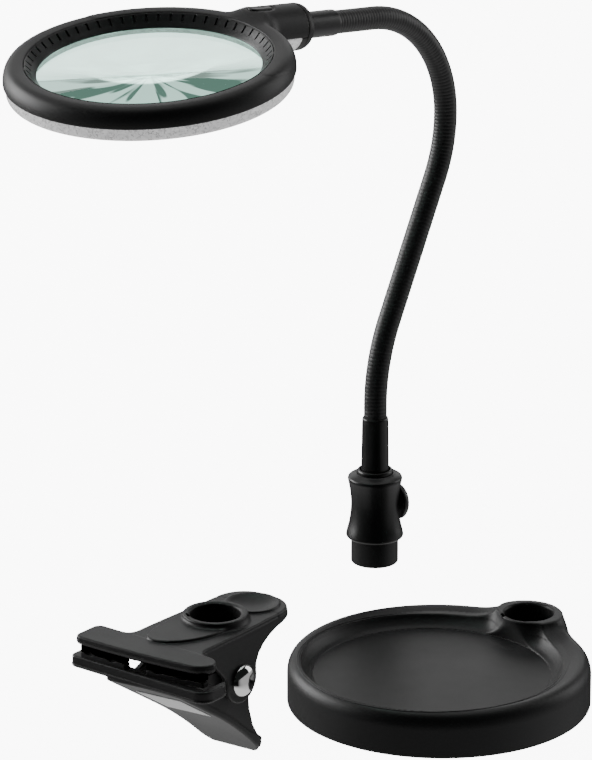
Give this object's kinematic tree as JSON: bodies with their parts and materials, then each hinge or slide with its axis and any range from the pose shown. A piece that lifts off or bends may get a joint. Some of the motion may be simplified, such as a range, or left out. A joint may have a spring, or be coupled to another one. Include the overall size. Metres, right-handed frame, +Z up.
{
  "type": "magnifying lamp",
  "caption": "Magnifying lamp kit: lit round lens on a gooseneck stem whose plug fits a weighted tray base or a spring table clamp.",
  "frame": {"origin": "centre of the weighted base's underside, on the table", "axes": "+Z up; +X to the right and +Y away, with the clamp at front-left and the lamp's stem behind the base"},
  "size_m": [0.2544, 0.255, 0.3043],
  "materials": {
    "black_plastic": "soft-touch matte black",
    "satin_black": "satin black",
    "gooseneck_skin": "ribbed matte black sleeve",
    "steel": "plain steel",
    "chrome": "polished",
    "rubber": "matte rubber",
    "lens_glass": "clear, polished, pale green tint",
    "frosted_plastic": "translucent, fine textured",
    "white_plastic": "moulded white",
    "circuit_board": "white solder mask",
    "led": "yellow phosphor",
    "label": "blank grey foil label",
    "button_plastic": "satin black"
  },
  "bodies": {
    "clamp": {"clamp_upper_jaw": "black_plastic", "upper_jaw_pad": "rubber", "pivot_pin": "steel", "pivot_caps": "chrome", "torsion_spring": "steel"},
    "clamp_lever": {"clamp_lower_jaw": "black_plastic", "lower_jaw_pad": "rubber", "clamp_label": "label"},
    "base": {"base_shell": "black_plastic", "base_ballast": "steel", "base_cover": "black_plastic", "base_foot_pad": "rubber", "base_screws": "steel"},
    "stem": {"plug": "black_plastic", "grip": "black_plastic", "collar_ring": "satin_black", "swivel_bush": "white_plastic", "stem_screws": "steel", "power_inlet": "black_plastic", "inlet_jack": "steel"},
    "swivel": {"lower_ferrule": "satin_black", "ferrule_clip": "steel", "ferrule_cable": "rubber", "gooseneck_01": "gooseneck_skin"},
    "gooseneck_02": {"gooseneck_02": "gooseneck_skin"},
    "gooseneck_03": {"gooseneck_03": "gooseneck_skin"},
    "gooseneck_04": {"gooseneck_04": "gooseneck_skin"},
    "gooseneck_05": {"gooseneck_05": "gooseneck_skin"},
    "gooseneck_06": {"gooseneck_06": "gooseneck_skin"},
    "gooseneck_07": {"gooseneck_07": "gooseneck_skin"},
    "gooseneck_08": {"gooseneck_08": "gooseneck_skin"},
    "gooseneck_09": {"gooseneck_09": "gooseneck_skin"},
    "gooseneck_10": {"gooseneck_10": "gooseneck_skin"},
    "gooseneck_11": {"gooseneck_11": "gooseneck_skin"},
    "head": {"gooseneck_12": "gooseneck_skin", "upper_ferrule": "satin_black", "neck_collar": "satin_black", "head_housing": "black_plastic", "lens_ring": "black_plastic", "lens": "lens_glass", "lens_carrier": "white_plastic", "led_board": "circuit_board", "leds": "led", "diffuser": "frosted_plastic", "neck_cover": "frosted_plastic", "head_screws": "steel", "switch_body": "black_plastic", "switch_board": "circuit_board", "head_cable": "rubber"},
    "button": {"power_button": "button_plastic"}
  },
  "joints": [
    {"name": "base_set_under_lamp", "type": "slide", "parent": "clamp", "child": "base", "axis": [-0.7729, 0.6345, 0], "range_m": [0, 0.08841]},
    {"name": "plug_into_base", "type": "slide", "parent": "clamp", "child": "stem", "axis": [0, 0, -1], "range_m": [0, 0.015]},
    {"name": "jaw_open", "type": "hinge", "parent": "clamp", "child": "clamp_lever", "pos_m": [-0.10223, -0.0683, 0.043], "axis": [0.788, -0.6157, 0], "range_deg": [0, 45], "stiffness_Nm_per_rad": 0.35, "springref_deg": -34.38, "deforming": ["torsion_spring"]},
    {"name": "lamp_swivel", "type": "hinge", "parent": "stem", "child": "swivel", "pos_m": [-0.027, 0.0989, 0.09], "axis": [0, 0, 1], "range_deg": [-175, 175]},
    {"name": "lower_lean", "type": "hinge", "parent": "swivel", "child": "gooseneck_02", "pos_m": [-0.0261, 0.0998, 0.11843], "axis": [0.7071, -0.7071, 0], "range_deg": [-10, 10]},
    {"name": "lower_sway", "type": "hinge", "parent": "gooseneck_02", "child": "gooseneck_03", "pos_m": [-0.0221, 0.1038, 0.13808], "axis": [0.653, 0.653, -0.3835], "range_deg": [-12, 12]},
    {"name": "lower_lean_2", "type": "hinge", "parent": "gooseneck_03", "child": "gooseneck_04", "pos_m": [-0.01595, 0.10995, 0.15664], "axis": [0.7071, -0.7071, 0], "range_deg": [-10, 10]},
    {"name": "lower_sway_2", "type": "hinge", "parent": "gooseneck_04", "child": "gooseneck_05", "pos_m": [-0.00974, 0.11616, 0.17516], "axis": [0.6388, 0.6388, -0.4289], "range_deg": [-12, 12]},
    {"name": "lower_lean_3", "type": "hinge", "parent": "gooseneck_05", "child": "gooseneck_06", "pos_m": [-0.00352, 0.12238, 0.19368], "axis": [0.7071, -0.7071, 0], "range_deg": [-10, 10]},
    {"name": "upper_sway", "type": "hinge", "parent": "gooseneck_06", "child": "gooseneck_07", "pos_m": [0.00226, 0.12816, 0.21245], "axis": [0.6751, 0.6751, -0.2973], "range_deg": [-10, 10]},
    {"name": "upper_curl", "type": "hinge", "parent": "gooseneck_07", "child": "gooseneck_08", "pos_m": [0.0044, 0.1303, 0.23264], "axis": [0.7071, -0.7071, 0], "range_deg": [-12, 6]},
    {"name": "upper_sway_2", "type": "hinge", "parent": "gooseneck_08", "child": "gooseneck_09", "pos_m": [0.00157, 0.12747, 0.25262], "axis": [0.6537, 0.6537, 0.3813], "range_deg": [-10, 10]},
    {"name": "upper_curl_2", "type": "hinge", "parent": "gooseneck_09", "child": "gooseneck_10", "pos_m": [-0.00638, 0.11952, 0.26961], "axis": [0.7071, -0.7071, 0], "range_deg": [-12, 6]},
    {"name": "upper_sway_3", "type": "hinge", "parent": "gooseneck_10", "child": "gooseneck_11", "pos_m": [-0.01826, 0.10764, 0.28112], "axis": [0.2803, 0.2803, 0.9181], "range_deg": [-10, 10]},
    {"name": "upper_curl_3", "type": "hinge", "parent": "gooseneck_11", "child": "head", "pos_m": [-0.03232, 0.09358, 0.28566], "axis": [0.7071, -0.7071, 0], "range_deg": [-12, 6]},
    {"name": "button_press", "type": "slide", "parent": "head", "child": "button", "axis": [-0.1053, -0.0473, -0.9933], "range_m": [0, 0.001], "stiffness_N_per_m": 600, "springref_m": -0.0005}
  ],
  "couplings": [
    {"joint": "lower_lean_2", "follows": "lower_lean", "ratio": 1},
    {"joint": "lower_sway_2", "follows": "lower_sway", "ratio": 1},
    {"joint": "lower_lean_3", "follows": "lower_lean", "ratio": 1},
    {"joint": "upper_sway_2", "follows": "upper_sway", "ratio": 1},
    {"joint": "upper_curl_2", "follows": "upper_curl", "ratio": 1},
    {"joint": "upper_sway_3", "follows": "upper_sway", "ratio": 1},
    {"joint": "upper_curl_3", "follows": "upper_curl", "ratio": 1}
  ]
}
